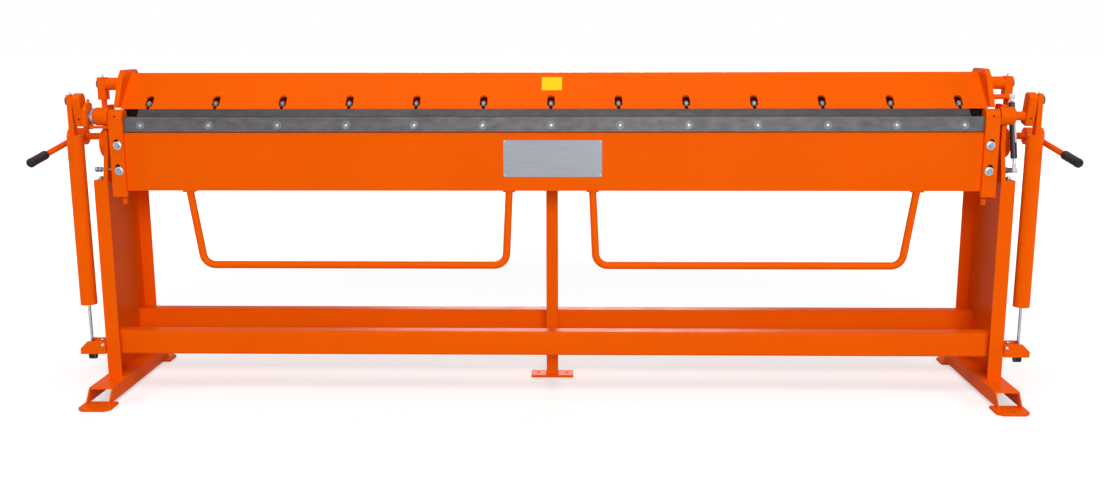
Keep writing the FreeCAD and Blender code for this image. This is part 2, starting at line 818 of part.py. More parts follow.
def clamp_ends():
    """End plates of the clamping beam, each with its hinge pin, collar and lifting boss."""
    low = bend_z + s.clamp_end_low_rise
    top = bend_z + s.clamp_end_rise
    front = bend_y + s.clamp_end_front
    brow = front + s.clamp_end_lean
    heel = hinge_y - s.clamp_end_heel
    ear = s.clamp_end_ear
    outline = [
        (front, low), (heel, low), (heel, hinge_z - ear), (hinge_y + ear, hinge_z - ear),
        (hinge_y + ear, hinge_z + ear), (hinge_y - s.clamp_end_rear, hinge_z + s.clamp_end_rear_rise),
        (bend_y + s.clamp_end_top_deep, top), (brow + s.clamp_end_corner_deep, top),
        (brow, top - s.clamp_end_corner),
    ]
    for name, side in SIDES:
        plate = side_profile(outline, near_x(side, clamp_half, s.clamp_end_thick), s.clamp_end_thick)
        pin = side_rod(side, clamp_outer, side_outer - clamp_outer, hinge_y, hinge_z, s.clamp_hinge_radius)
        collar_long = side_inner - s.tool_gap - clamp_outer
        collar = side_rod(side, clamp_outer, collar_long, hinge_y, hinge_z, s.clamp_hinge_collar)
        keep(fuse(plate, pin, collar), f"clamp_end_{name}")
        boss_long = lift_boss_end - clamp_outer
        pin_long = s.link_gap + s.link_thick + s.link_gap
        boss = fuse(
            side_rod(side, clamp_outer, boss_long, s.lift_back, lift_z, s.lift_boss_radius),
            side_rod(side, lift_boss_end, pin_long, s.lift_back, lift_z, s.lift_pin_radius),
        )
        if side > 0:
            base_long = gas_middle - s.gas_eye - s.running_gap - clamp_outer
            stud_long = gas_middle + s.gas_eye - clamp_outer
            stud = fuse(
                side_rod(side, clamp_outer, base_long, -s.gas_top_back, gas_top_z, s.gas_stud_base),
                side_rod(side, clamp_outer, stud_long, -s.gas_top_back, gas_top_z, s.gas_stud),
            )
            boss = compound(boss, stud)
        keep(boss, f"lift_boss_{name}")


def links():
    """Clamping links: a head block on the lifting pin, a rod, and a strap round the cam."""
    inner = lift_boss_end + s.link_gap
    strap_bore = s.cam_radius + s.strap_gap
    strap_radius = strap_bore + s.strap_wall
    strap_inner = inner + (s.link_thick - s.strap_thick) / 2
    head = s.link_head
    for name, side in SIDES:
        x = near_x(side, inner, s.link_thick)
        middle = x + s.link_thick / 2
        block = box(
            x, s.lift_back - head, lift_z - s.link_head_down,
            s.link_thick, 2 * head, s.link_head_down + s.link_head_up,
        )
        shank_low = strap_z + strap_bore + 1
        shank = rod("z", middle, s.lift_back, shank_low, s.link_rod_radius, lift_z - head - shank_low)
        strap = side_rod(side, strap_inner, s.strap_thick, s.lift_back, strap_z, strap_radius)
        eye = side_rod(side, strap_inner - 1, s.strap_thick + 2, s.lift_back, strap_z, strap_bore)
        pin_bore = s.lift_pin_radius + s.running_gap
        pin_hole = side_rod(side, inner - 1, s.link_thick + 2, s.lift_back, lift_z, pin_bore)
        keep(cut(fuse(block, shank, strap), eye, pin_hole), f"clamp_link_{name}")


def clamp_drive():
    """The cam shaft through the bed, its cams, and the levers with their grips."""
    y = s.lift_back
    shaft_half = lever_start - s.lever_knuckle
    keep(rod("x", -shaft_half, y, cam_z, s.cam_shaft_radius, 2 * shaft_half), "cam_shaft")
    cam_inner = lift_boss_end + s.link_gap + (s.link_thick - s.cam_thick) / 2
    reach_long = math.hypot(s.lever_side.number, s.lever_forward.number, s.lever_down.number)
    bar_long = as_size(reach_long) - s.grip_long
    grip_straight = s.grip_long - 2 * s.grip_round
    grip_tip = s.grip_radius - s.grip_round

    def on_lever(side, distance):
        """The place at that many millimetres along a lever's axis."""
        share = distance / reach_long
        x = side * (lever_start + s.lever_side * share)
        return x, y - s.lever_forward * share, cam_z - s.lever_down * share

    cams = []
    levers = []
    grips = []
    for name, side in SIDES:
        disc = side_rod(side, cam_inner, s.cam_thick, y, strap_z, s.cam_radius)
        bore = side_rod(side, cam_inner - 1, s.cam_thick + 2, y, cam_z, s.cam_shaft_radius)
        cams.append(cut(disc, bore))
        reach = Vector(side * s.lever_side.number, -s.lever_forward.number, -s.lever_down.number)
        along = Rotation(Vector(0, 0, 1), reach)
        knuckle = side_rod(side, shaft_half, 2 * s.lever_knuckle, y, cam_z, s.lever_knuckle)
        bar = slanted_rod(along, side * lever_start, y, cam_z, s.lever_radius, bar_long)
        levers.append(fuse(knuckle, bar))
        root = on_lever(side, bar_long)
        near = on_lever(side, bar_long + s.grip_round)
        far = on_lever(side, bar_long + s.grip_round + grip_straight)
        grips.append(fuse(
            cone(along, *root, grip_tip, s.grip_radius, s.grip_round),
            slanted_rod(along, *near, s.grip_radius, grip_straight),
            cone(along, *far, s.grip_radius, grip_tip, s.grip_round),
        ))
    keep(compound(*cams), "clamp_cams")
    keep(compound(*levers), "clamp_levers")
    keep(compound(*grips), "lever_grips")


def spring_tube(side, tilt, tube_long):
    """A spring tube with its cap and hanger, drawn upright about the arm's pin and tilted."""
    inner = arm_outer + s.hanger_gap
    strap_x = near_x(side, inner, s.hanger_thick)
    strap_long = s.tube_top_drop + s.hanger_rise
    strap = box(
        strap_x, -s.hanger_wide / 2, -s.tube_top_drop, s.hanger_thick, s.hanger_wide, strap_long,
    )
    bore = side_rod(side, inner - 1, s.hanger_thick + 2, 0, 0, s.arm_pin_radius + s.running_gap)
    middle = side * tube_middle
    low = -s.tube_top_drop - tube_long
    outer = rod("z", middle, 0, low, s.tube_radius, tube_long)
    hollow = rod("z", middle, 0, low - 1, s.tube_radius - s.tube_wall, tube_long - s.tube_cap + 1)
    tube = fuse(cut(strap, bore), cut(outer, hollow))
    tube.Placement = Placement(Vector(), Rotation(Vector(1, 0, 0), tilt))
    move(tube, y=arm_pin_y, z=arm_pin_z)
    return tube


def spring_rod(side, tilt):
    """The rod inside the tube, on a rounded seat that rocks under the bracket's floor."""
    middle = side * tube_middle
    stem = rod("z", middle, 0, 0, s.rod_radius, s.rod_long)
    seat_inner = tube_middle - s.rod_seat_wide / 2
    seat = side_rod(side, seat_inner, s.rod_seat_wide, 0, 0, s.rod_seat_radius)
    stood = fuse(stem, seat)
    stood.Placement = Placement(Vector(), Rotation(Vector(1, 0, 0), tilt))
    move(stood, y=rod_eye_y, z=rod_eye_z)
    return stood


def rod_bracket(side):
    """A channel bracket, open upwards, its outer top corners sloped."""
    inner = side * leg_outer
    outer = side * (leg_outer + s.bracket_wide)
    brow = outer - side * s.bracket_slope
    low = s.bracket_low
    top = low + s.bracket_high
    near = rod_eye_y - s.bracket_deep / 2
    thick = s.bracket_thick
    outline = [(inner, low), (outer, low), (outer, top - s.bracket_slope), (brow, top), (inner, top)]
    flanges = [
        front_profile(outline, y, thick) for y in (near, near + s.bracket_deep - thick)
    ]
    floor_x = near_x(side, leg_outer, s.bracket_wide)
    floor = box(floor_x, near, low, s.bracket_wide, s.bracket_deep, thick)
    slot = rod("z", side * tube_middle, rod_eye_y, low - 1, s.bracket_slot_radius, thick + 2)
    return cut(fuse(floor, *flanges), slot)


def counterbalance():
    """Spring tubes hung from the arms down to a clearance above the brackets that hold their rods."""
    across = rod_eye_y.number - arm_pin_y.number
    rise = arm_pin_z.number - rod_eye_z.number
    tilt = math.degrees(math.atan2(across, rise))
    rod_shown = s.bracket_low + s.bracket_high + s.tube_clear - rod_eye_z
    tube_long = math.hypot(across, rise) - s.tube_top_drop - rod_shown
    for name, side in SIDES:
        keep(spring_tube(side, tilt, tube_long), f"spring_tube_{name}")
        keep(spring_rod(side, tilt), f"spring_rod_{name}")
    keep(compound(*[rod_bracket(side) for name, side in SIDES]), "rod_brackets")


def gas_spring():
    """The gas spring on the right: a cylinder on the beam's stud and a rod on the side plate's."""
    top = Vector(0, -s.gas_top_back.number, gas_top_z.number)
    low = Vector(0, -s.gas_low_back.number, gas_low_z.number)
    span = (top - low).Length
    down = Rotation(Vector(0, 0, 1), low - top)
    up = Rotation(Vector(0, 0, 1), top - low)
    eye = s.gas_eye
    bore = s.gas_stud + s.running_gap

    def on_line(share):
        """The y and z of the point at that many millimetres below the top ball."""
        ratio = share / span
        y = -s.gas_top_back + (s.gas_top_back - s.gas_low_back) * ratio
        z = gas_top_z + (gas_low_z - gas_top_z) * ratio
        return y, z

    def knuckle(share, turn):
        """A ball socket with its short neck."""
        y, z = on_line(share)
        socket = side_rod(1, gas_middle - eye + s.running_gap, 2 * eye - s.running_gap, y, z, eye)
        return socket, slanted_rod(turn, gas_middle, y, z, s.gas_neck, s.gas_neck_long + 1)

    def pierced(solid, share):
        y, z = on_line(share)
        return cut(solid, side_rod(1, gas_middle - 2 * eye, 4 * eye, y, z, bore))

    barrel_top = s.gas_neck_long
    barrel_long = as_size(span) - barrel_top - s.gas_rod_shown
    y, z = on_line(barrel_top)
    barrel = slanted_rod(down, gas_middle, y, z, s.gas_radius, barrel_long)
    y, z = on_line(barrel_top + barrel_long + 1)
    bore_radius = s.gas_rod_radius + s.gas_bore_gap
    hollow = slanted_rod(up, gas_middle, y, z, bore_radius, s.gas_rod_hidden + s.gas_radius)
    keep(pierced(cut(fuse(barrel, *knuckle(as_size(0), down)), hollow), as_size(0)), "gas_cylinder")
    y, z = on_line(as_size(span) - 2 * eye)
    stem_long = s.gas_rod_shown + s.gas_rod_hidden - 2 * eye
    stem = slanted_rod(up, gas_middle, y, z, s.gas_rod_radius, stem_long)
    keep(pierced(fuse(stem, *knuckle(as_size(span), up)), as_size(span)), "gas_rod")


def stop():
    """The bend angle stop on the left: a bearing ring, a flat-nosed disc and the apron's rod."""
    ring_end = hub_end + s.stop_ring_thick
    bore = s.shaft_radius + s.running_gap
    ring = side_rod(-1, hub_end, s.stop_ring_thick, bend_y, bend_z, s.stop_ring_radius)
    ring_bore = side_rod(-1, hub_end - 1, s.stop_ring_thick + 2, bend_y, bend_z, bore)
    keep(cut(ring, ring_bore), "bearing_ring")
    thick = s.stop_thick
    radius = s.stop_radius
    outline = [(bend_y + s.stop_rear, bend_z + s.stop_rear_top)]
    for angle in STOP_RIM_ANGLES:
        turn = as_size(angle)
        outline.append((bend_y + radius * cosine(turn), bend_z + radius * sine(turn)))
    outline += [
        (bend_y - s.stop_flat, bend_z - s.stop_flat_top), (bend_y - s.stop_flat, bend_z - s.stop_flat_low),
        (bend_y - radius / 2, bend_z - s.stop_low), (bend_y + s.stop_rear, bend_z - s.stop_rear_low),
    ]
    disc = side_profile(outline, -(ring_end + thick), thick)
    knob_z = bend_z + s.stop_rear_top
    knob = rod("z", -(ring_end + thick / 2), bend_y, knob_z, s.stop_knob_radius, s.stop_knob_high)
    disc_bore = side_rod(-1, ring_end - 1, thick + 2, bend_y, bend_z, bore)
    keep(cut(fuse(disc, knob), disc_bore), "stop_disc")
    y = bend_y - s.stop_rod_reach * cosine(s.stop_rod_angle)
    z = bend_z - s.stop_rod_reach * sine(s.stop_rod_angle)
    tip = ring_end - s.stop_rod_clear
    stem = side_rod(-1, bar_outer, tip - bar_outer, y, z, s.stop_rod_radius)
    button = side_rod(-1, tip - s.stop_rod_end, s.stop_rod_end, y, z, s.stop_rod_end)
    keep(fuse(stem, button), "stop_rod")


legs()
feet()
rails()
centre_post()
side_plates()
bed()
folding_beam()
end_bars()
pivots()
handles()
clamping_beam()
clamp_ends()
links()
clamp_drive()
counterbalance()
gas_spring()
stop()

doc.recompute()
for item in doc.Objects:
    if "Invalid" in item.State or "Error" in item.State:
        raise RuntimeError(f"{item.Label} failed: {item.State}")
os.makedirs("parts", exist_ok=True)
for part in parts:
    if part.Shape.isNull() or not part.Shape.isValid():
        raise RuntimeError(f"{part.Label} has no valid shape")
    part.Shape.exportStep(f"parts/{part.Label}.step")
    print(part.Label, len(part.Shape.Solids), round(part.Shape.Volume / 1e6, 3))
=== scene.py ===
"""The looks of a hand-operated sheet metal folding brake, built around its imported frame."""

import json
import math

import bmesh
import bpy
from mathutils import Matrix, Vector


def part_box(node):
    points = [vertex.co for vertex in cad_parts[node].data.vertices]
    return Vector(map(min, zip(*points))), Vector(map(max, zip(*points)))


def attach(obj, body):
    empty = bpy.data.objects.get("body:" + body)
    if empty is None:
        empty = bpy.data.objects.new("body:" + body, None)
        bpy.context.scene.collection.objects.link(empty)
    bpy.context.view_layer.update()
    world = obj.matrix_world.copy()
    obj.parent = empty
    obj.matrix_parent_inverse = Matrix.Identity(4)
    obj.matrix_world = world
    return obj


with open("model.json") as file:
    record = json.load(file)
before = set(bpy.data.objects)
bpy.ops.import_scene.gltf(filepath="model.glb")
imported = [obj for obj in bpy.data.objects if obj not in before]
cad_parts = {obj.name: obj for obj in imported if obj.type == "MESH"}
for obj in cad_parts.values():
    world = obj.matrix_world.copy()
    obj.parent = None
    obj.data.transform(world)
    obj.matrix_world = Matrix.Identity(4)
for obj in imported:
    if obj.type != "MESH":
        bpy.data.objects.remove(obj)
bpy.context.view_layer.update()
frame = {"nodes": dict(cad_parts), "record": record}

SCENE = bpy.context.scene
MM = 0.001
LEFT, RIGHT = -1, 1
BOTH_ENDS = (LEFT, RIGHT)

# Colours are written as linear light.
ORANGE = (0.87, 0.112, 0.001, 1)
ORANGE_DEEP = (0.79, 0.094, 0.001, 1)
DARK_STEEL = (0.052, 0.049, 0.053, 1)
DARK_STEEL_PALE = (0.105, 0.101, 0.108, 1)
BRIGHT_STEEL = (0.50, 0.54, 0.59, 1)
BRIGHT_STEEL_DEEP = (0.28, 0.31, 0.35, 1)
# Bluish zinc for the bolt heads and the left stud, set darker than the bright washers as painted shade.
ZINC_BLUE_AND_SHADE = (0.15, 0.24, 0.30, 1)
ZINC_BLUE_AND_SHADE_PALE = (0.30, 0.40, 0.46, 1)
SCREW_GREY = (0.15, 0.15, 0.16, 1)
SCREW_GREY_PALE = (0.27, 0.27, 0.29, 1)
BLADE_STEEL = (0.022, 0.018, 0.019, 1)
BLADE_STEEL_PALE = (0.050, 0.042, 0.044, 1)
GRIP_BLACK = (0.012, 0.011, 0.011, 1)
GRIP_BLACK_PALE = (0.02, 0.019, 0.018, 1)
GAS_BLACK = (0.036, 0.034, 0.044, 1)
GAS_BLACK_DEEP = (0.022, 0.021, 0.027, 1)
PLATE_GREY = (0.23, 0.25, 0.28, 1)
PLATE_GREY_PALE = (0.28, 0.30, 0.34, 1)
LABEL_YELLOW = (0.90, 0.56, 0.01, 1)
LABEL_YELLOW_PALE = (0.92, 0.62, 0.03, 1)
SOCKET_WHITE = (0.74, 0.75, 0.76, 1)
SOCKET_WHITE_DEEP = (0.60, 0.61, 0.62, 1)
# Near black: the grub screws' own black, and painted shade in the bars' slots, the gaps, the seams and the
# notches.
SHADE_AND_SCREW_BLACK = (0.010, 0.009, 0.009, 1)
SHADE_AND_SCREW_BLACK_PALE = (0.02, 0.012, 0.008, 1)
FLOOR_WHITE = (0.62, 0.62, 0.62, 1)
FULL_WHITE = (1, 1, 1, 1)

# How strongly the patches and the fine lines mark worn steel.
PATCH_SHARE = 0.9
LINE_SHARE = 0.25

# The solids' edges are rounded by this many millimetres where they turn by more than the first angle.
# The added pieces are shaded as smooth where they turn by less than the second.
EDGE_ROUND = 1.2
EDGE_ANGLE = math.radians(40)
SMOOTH_ANGLE = math.radians(35)


def new_material(name, colour, roughness, metallic=0.0):
    """A material with its node tree and its shader, ready for detail."""
    material = bpy.data.materials.new(name)
    material.use_nodes = True
    tree = material.node_tree
    shader = tree.nodes["Principled BSDF"]
    shader.inputs["Base Color"].default_value = colour
    shader.inputs["Roughness"].default_value = roughness
    shader.inputs["Metallic"].default_value = metallic
    return material, tree, shader


def noise(tree, scale, detail=4.0, stretch=(1, 1, 1)):
    """Noise over the piece's own coordinates, stretched along the axes."""
    place = tree.nodes.new("ShaderNodeTexCoord")
    mapping = tree.nodes.new("ShaderNodeMapping")
    mapping.inputs["Scale"].default_value = stretch
    texture = tree.nodes.new("ShaderNodeTexNoise")
    texture.inputs["Scale"].default_value = scale
    texture.inputs["Detail"].default_value = detail
    tree.links.new(place.outputs["Object"], mapping.inputs["Vector"])
    tree.links.new(mapping.outputs["Vector"], texture.inputs["Vector"])
    return texture.outputs["Fac"]


def between(tree, factor, low, high):
    """The factor's middle half spread from low to high."""
    spread = tree.nodes.new("ShaderNodeMapRange")
    spread.inputs["From Min"].default_value = 0.25
    spread.inputs["From Max"].default_value = 0.75
    spread.inputs["To Min"].default_value = low
    spread.inputs["To Max"].default_value = high
    tree.links.new(factor, spread.inputs["Value"])
    return spread.outputs["Result"]


def mix_colour(tree, factor, first, second):
    """The first colour where the factor is 0, the second where it is 1."""
    blend = tree.nodes.new("ShaderNodeMix")
    blend.data_type = "RGBA"
    tree.links.new(factor, blend.inputs["Factor"])
    for socket, colour in (("A", first), ("B", second)):
        target = next(item for item in blend.inputs if item.name == socket and item.type == "RGBA")
        target.default_value = colour
    return next(item for item in blend.outputs if item.type == "RGBA")


def arithmetic(tree, operation, *values):
    """The result of a math node on plain numbers and other nodes' outputs."""
    node = tree.nodes.new("ShaderNodeMath")
    node.operation = operation
    for socket, value in zip(node.inputs, values):
        if isinstance(value, float):
            socket.default_value = value
        else:
            tree.links.new(value, socket)
    return node.outputs[0]


def seen_directly(tree):
    """1 for what the camera and glossy surfaces see, and 0 for the light on the object."""
    path = tree.nodes.new("ShaderNodeLightPath")
    return arithmetic(tree, "MAXIMUM", path.outputs["Is Camera Ray"], path.outputs["Is Glossy Ray"])


def bump(tree, shader, height, strength, distance):
    """Let a height pattern tilt the surface's shading. The distance is in metres."""
    node = tree.nodes.new("ShaderNodeBump")
    node.inputs["Strength"].default_value = strength
    node.inputs["Distance"].default_value = distance
    tree.links.new(height, node.inputs["Height"])
    tree.links.new(node.outputs["Normal"], shader.inputs["Normal"])


def painted(name, colour, second, roughness=0.34, shine=0.015):
    """Paint or plastic: faint orange peel, and a slow drift toward a second colour."""
    material, tree, shader = new_material(name, colour, roughness)
    drift = between(tree, noise(tree, scale=2.4), low=0.0, high=0.6)
    tree.links.new(mix_colour(tree, drift, colour, second), shader.inputs["Base Color"])
    gloss = between(tree, noise(tree, scale=9.0), roughness - 0.05, roughness + 0.07)
    tree.links.new(gloss, shader.inputs["Roughness"])
    orange_peel = noise(tree, scale=420.0, detail=2.0)
    bump(tree, shader, orange_peel, strength=0.10, distance=0.0004)
    shader.inputs["Specular IOR Level"].default_value = shine
    return material


def brushed(name, colour, second, roughness, metallic=1.0, stretch=(1, 24, 24), scale=14.0, worn=0.0):
    """Ground or plated steel: two colours in fine lines, or in an even grain where nothing is stretched."""
    material, tree, shader = new_material(name, colour, roughness, metallic)
    lines = noise(tree, scale, detail=8.0, stretch=stretch)
    if worn:
        patches = noise(tree, worn, detail=6.0, stretch=(1, 2, 2))
        faint_lines = arithmetic(tree, "MULTIPLY", lines, LINE_SHARE)
        lines = arithmetic(tree, "MULTIPLY_ADD", patches, PATCH_SHARE, faint_lines)
    bands = mix_colour(tree, between(tree, lines, low=0.0, high=1.0), colour, second)
    tree.links.new(bands, shader.inputs["Base Color"])
    gloss = between(tree, noise(tree, scale=5.0), roughness - 0.08, roughness + 0.10)
    tree.links.new(gloss, shader.inputs["Roughness"])
    bump(tree, shader, lines, strength=0.12, distance=0.0003)
    return material


orange = painted("orange_paint", ORANGE, ORANGE_DEEP)
tool_steel = brushed(
    "tool_steel", DARK_STEEL, DARK_STEEL_PALE, roughness=0.42, metallic=0.6, worn=22.0,
)
bright_steel = brushed(
    "bright_steel", BRIGHT_STEEL, BRIGHT_STEEL_DEEP, roughness=0.30, stretch=(1, 1, 1), scale=60.0,
)
blade_steel = brushed(
    "blade_steel", BLADE_STEEL, BLADE_STEEL_PALE, roughness=0.46, metallic=0.5, worn=30.0,
)
# Bluish zinc plating, darker than the washers' bright steel as painted shade on the heads.
zinc_blue_and_shade = brushed(
    "zinc_blue_and_shade", ZINC_BLUE_AND_SHADE, ZINC_BLUE_AND_SHADE_PALE, roughness=0.34, metallic=0.7,
    stretch=(1, 1, 1), scale=70.0,
)
screw_grey = brushed(
    "screw_grey", SCREW_GREY, SCREW_GREY_PALE, roughness=0.45, metallic=0.5,
    stretch=(1, 1, 1), scale=80.0,
)
grip_plastic = painted("grip_plastic", GRIP_BLACK, GRIP_BLACK_PALE, roughness=0.46, shine=0.14)
gas_black = painted("gas_black", GAS_BLACK, GAS_BLACK_DEEP, roughness=0.30, shine=0.3)
plate_grey = brushed(
    "plate_grey", PLATE_GREY, PLATE_GREY_PALE, roughness=0.45, metallic=0.3,
    stretch=(1, 20, 20), scale=9.0,
)
label_yellow = painted("label_yellow", LABEL_YELLOW, LABEL_YELLOW_PALE, roughness=0.40)
socket_white = painted("socket_white", SOCKET_WHITE, SOCKET_WHITE_DEEP, roughness=0.42)
# Near black for the grub screws, and for the pieces that paint shade in slots, gaps, seams and notches.
shade_and_screw_black = painted("shade_and_screw_black", SHADE_AND_SCREW_BLACK, SHADE_AND_SCREW_BLACK_PALE, roughness=0.7)

SLOT_MATERIALS = {
    "orange_paint": orange,
    "tool_steel": tool_steel,
    "bright_steel": bright_steel,
    "grip_plastic": grip_plastic,
    "gas_black": gas_black,
}


def dress_nodes():
    """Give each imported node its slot's material and slightly rounded edges."""
    slot_of = {item["node"]: item["material_slot"] for item in frame["record"]["subparts"]}
    for name, node in frame["nodes"].items():
        node.data.materials.clear()
        node.data.materials.append(blade_steel if name == "clamp_blade" else SLOT_MATERIALS[slot_of[name]])
        edges = node.modifiers.new("edges", "BEVEL")
        edges.width = EDGE_ROUND * MM
        edges.segments = 2
        edges.limit_method = "ANGLE"
        edges.angle_limit = EDGE_ANGLE
        edges.harden_normals = True


dress_nodes()


def corners(node):
    """A node's lowest and highest corners, in millimetres."""
    low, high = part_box(node)
    return low / MM, high / MM


def aimed(x, y, z, direction):
    """A place given in millimetres, whose own Z runs along the direction."""
    turn = Vector(direction).normalized().to_track_quat("Z", "Y").to_matrix().to_4x4()
    return Matrix.Translation(Vector((x, y, z)) * MM) @ turn @ Matrix.Scale(MM, 4)


def leaning(x, y, z):
    """A place given in millimetres, whose own Z runs square out of the leaning plate."""
    turn = Matrix.Rotation(math.radians(45), 4, "X")
    return Matrix.Translation(Vector((x, y, z)) * MM) @ turn @ Matrix.Scale(MM, 4)


def skin(shape, loops, joined=False):
    """Faces between loops of as many points: capped, or joined last loop to first."""
    pairs = list(zip(loops, loops[1:]))
    if joined:
        pairs.append((loops[-1], loops[0]))
    count = len(loops[0])
    for low, high in pairs:
        for index in range(count):
            after = (index + 1) % count
            shape.faces.new((low[index], low[after], high[after], high[index]))
    if not joined:
        shape.faces.new(list(reversed(loops[0])))
        shape.faces.new(loops[-1])


def turned(shape, place, rings, sides=32, hollow=False):
    """A turned solid through rings of (radius, height), with or without a hole through it."""
    loops = []
    for radius, height in rings:
        loop = []
        for index in range(sides):
            angle = math.tau * index / sides
            point = Vector((radius * math.cos(angle), radius * math.sin(angle), height))
            loop.append(shape.verts.new(place @ point))
        loops.append(loop)
    skin(shape, loops, joined=hollow)


def washer(shape, place, bore, radius, thick, base=0.0):
    """A flat ring whose outer edges are broken."""
    edge = min(0.6, thick / 3)
    turned(shape, place, [
        (bore, base), (radius - edge, base), (radius, base + edge), (radius, base + thick - edge),
        (radius - edge, base + thick), (bore, base + thick),
    ], sides=40, hollow=True)


def hexagon(shape, place, across, high, base=0.0):
    """A hexagonal head or nut, its top corners turned off."""
    corner = across / math.sqrt(3)
    turned(shape, place, [
        (corner * 0.97, base), (corner, base + 0.5),
        (corner, base + high - 1.5), (corner * 0.87, base + high),
    ], sides=6)


def domed(shape, place, radius, high, sides=24):
    """A round head: an upright rim, then a dome with a small flat on top."""
    rim = 0.35 * high
    steps = 5
    rings = [(radius, 0.0)]
    for step in range(steps):
        angle = math.pi / 2 * step / steps
        rings.append((radius * math.cos(angle), rim + (high - rim) * math.sin(angle)))
    rings.append((radius * 0.12, high))
    turned(shape, place, rings, sides)


def socket_screw(shape, place):
    """The end of a small grub screw, with the rim of its socket."""
    turned(shape, place, [(3.4, -0.3), (3.4, 0.12), (3.0, 0.3), (1.9, 0.3), (1.7, 0.05)], sides=20)


def plate(shape, place, wide, high, thick, corner):
    """A thin plate with rounded corners and a softened front edge, its face along the place's Z."""
    quarters = ((1, 1), (-1, 1), (-1, -1), (1, -1))
    steps = 5
    loops = []
    for inset, depth in ((0.0, 0.0), (0.0, thick * 0.6), (thick * 0.5, thick)):
        loop = []
        for turn, (across, up) in enumerate(quarters):
            for step in range(steps + 1):
                angle = math.pi / 2 * (turn + step / steps)
                x = across * (wide / 2 - corner) + (corner - inset) * math.cos(angle)
                y = up * (high / 2 - corner) + (corner - inset) * math.sin(angle)
                loop.append(shape.verts.new(place @ Vector((x, y, depth))))
        loops.append(loop)
    skin(shape, loops)


def bead(shape, points, radius, ripple=5.0, sides=8):
    """A weld bead along a path in millimetres: a round bead that swells and shrinks in ripples."""
    steps = []
    for start, end in zip(points, points[1:]):
        start, end = Vector(start), Vector(end)
        count = max(2, int((end - start).length / (ripple / 2)))
        steps += [start.lerp(end, index / count) for index in range(count)]
    steps.append(Vector(points[-1]))
    loops = []
    for index, point in enumerate(steps):
        ahead = steps[min(index + 1, len(steps) - 1)] - steps[max(index - 1, 0)]
        across = ahead.orthogonal().normalized()
        up = ahead.normalized().cross(across)
        swell = radius * (1.14 if index % 2 else 0.92)
        loop = []
        for side in range(sides):
            angle = math.tau * side / sides
            offset = across * math.cos(angle) + up * math.sin(angle)
            loop.append(shape.verts.new((point + offset * swell) * MM))
        loops.append(loop)
    skin(shape, loops)


def circle(x, y, z, radius, count=36):
    """Points round a circle that faces along the machine, the first one again at the end."""
    angles = [math.tau * index / count for index in range(count + 1)]
    return [(x, y + radius * math.cos(angle), z + radius * math.sin(angle)) for angle in angles]


def rail(shape, reach, outline):
    """A bar along the machine that reaches as far to both ends, from its (y, z) outline."""
    skin(shape, [
        [shape.verts.new(Vector((side * reach, y, z)) * MM) for y, z in outline] for side in BOTH_ENDS
    ])


def piece(name, body, material, build):
    """Build one piece in mesh code, shade it by angle and let it ride on its body."""
    mesh = bpy.data.meshes.new(name)
    shape = bmesh.new()
    build(shape)
    bmesh.ops.recalc_face_normals(shape, faces=shape.faces)
    shape.to_mesh(mesh)
    shape.free()
    for face in mesh.polygons:
        face.use_smooth = True
    mesh.set_sharp_from_angle(angle=SMOOTH_ANGLE)
    mesh.materials.append(material)
    thing = bpy.data.objects.new(name, mesh)
    SCENE.collection.objects.link(thing)
    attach(thing, body)
    return thing


FRONT = (0, -1, 0)
BACK = (0, 1, 0)
UP = (0, 0, 1)
DOWN = (0, 0, -1)


def outward(side):
    """The direction along the machine toward one of its ends."""
    return (side, 0, 0)


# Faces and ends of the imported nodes, in millimetres. The machine's right half gives both halves.
STRIP_LOW, STRIP_HIGH = corners("bending_strip")
BAR_LOW, BAR_HIGH = corners("end_bar_right")
LEG_LOW, LEG_HIGH = corners("leg_right")
LINK_LOW, LINK_HIGH = corners("clamp_link_right")
STRIP_FRONT = STRIP_LOW.y
APRON_FRONT = corners("apron_plate")[0].y
APRON_UNDERSIDE = corners("apron_plate")[0].z
BAR_FRONT = BAR_LOW.y
BAR_MIDDLE = (BAR_LOW.x + BAR_HIGH.x) / 2
BAR_OUTER = BAR_HIGH.x
LEG_TOP = corners("leg_caps")[1].z
FOOT_TOP = corners("foot_right")[1].z
BED_TOP = corners("bed_top")[1].z
BLADE_END = corners("clamp_blade")[1].x
LIP_Y = corners("clamp_front_plate")[0].y
ARM_OUTER = corners("balance_arms")[1].x
LIFT_PIN_END = corners("lift_boss_right")[1].x
LEVER_SHAFT_END = corners("cam_shaft")[1].x
LINK_MIDDLE = (LINK_LOW.x + LINK_HIGH.x) / 2

# The machine's axes, and faces that no node's box gives, in millimetres. The gas spring's barrel end
# and lower ball are distances from its top ball, and a lever's reach runs from its shaft to its tip.
BEND_Y, BEND_Z = -103.5, 1022.0
HINGE_Y, HINGE_Z = 216.5, 1050.0
LIFT_Y, LIFT_Z = 21.5, 1132.0
LEVER_SHAFT_Y, LEVER_SHAFT_Z = 21.5, 940.0
ARM_PIN_Y, ARM_PIN_Z = -117.0, 1078.4
HANGER_X, HANGER_TOP = 1709, 1100.4
ROD_SEAT_X, ROD_SEAT_Y, ROD_SEAT_Z = 1704.0, -108.5, 137.2
GAS_TOP = Vector((1645, -31, 1085))
GAS_LOW = Vector((1645, -107, 830))
GAS_BARREL_END = 219.0
GAS_LOW_BALL = 266.1
LEVER_X = 1752
LEVER_OUT, LEVER_FORWARD, LEVER_DOWN = 43, 305, 67
SIDE_OUTER = 1610.0
LIP_Z = 1046.0

# The windows of the leaning plate stand at even steps, the last ones this far from the blade's ends.
WINDOW_INSET = 28.8
WINDOWS_A_SIDE = 6
WINDOW_STEP = (BLADE_END - WINDOW_INSET) / WINDOWS_A_SIDE
WINDOWS = [index * WINDOW_STEP for index in range(-WINDOWS_A_SIDE, WINDOWS_A_SIDE + 1)]

# The screws of the bending strip stand at slightly uneven steps.
STRIP_SCREWS = (
    -1466, -1220, -974.5, -728, -485, -241.5, 1.5, 246, 489, 732, 978, 1219, 1457,
)
STRIP_SCREW_Z = 991.5

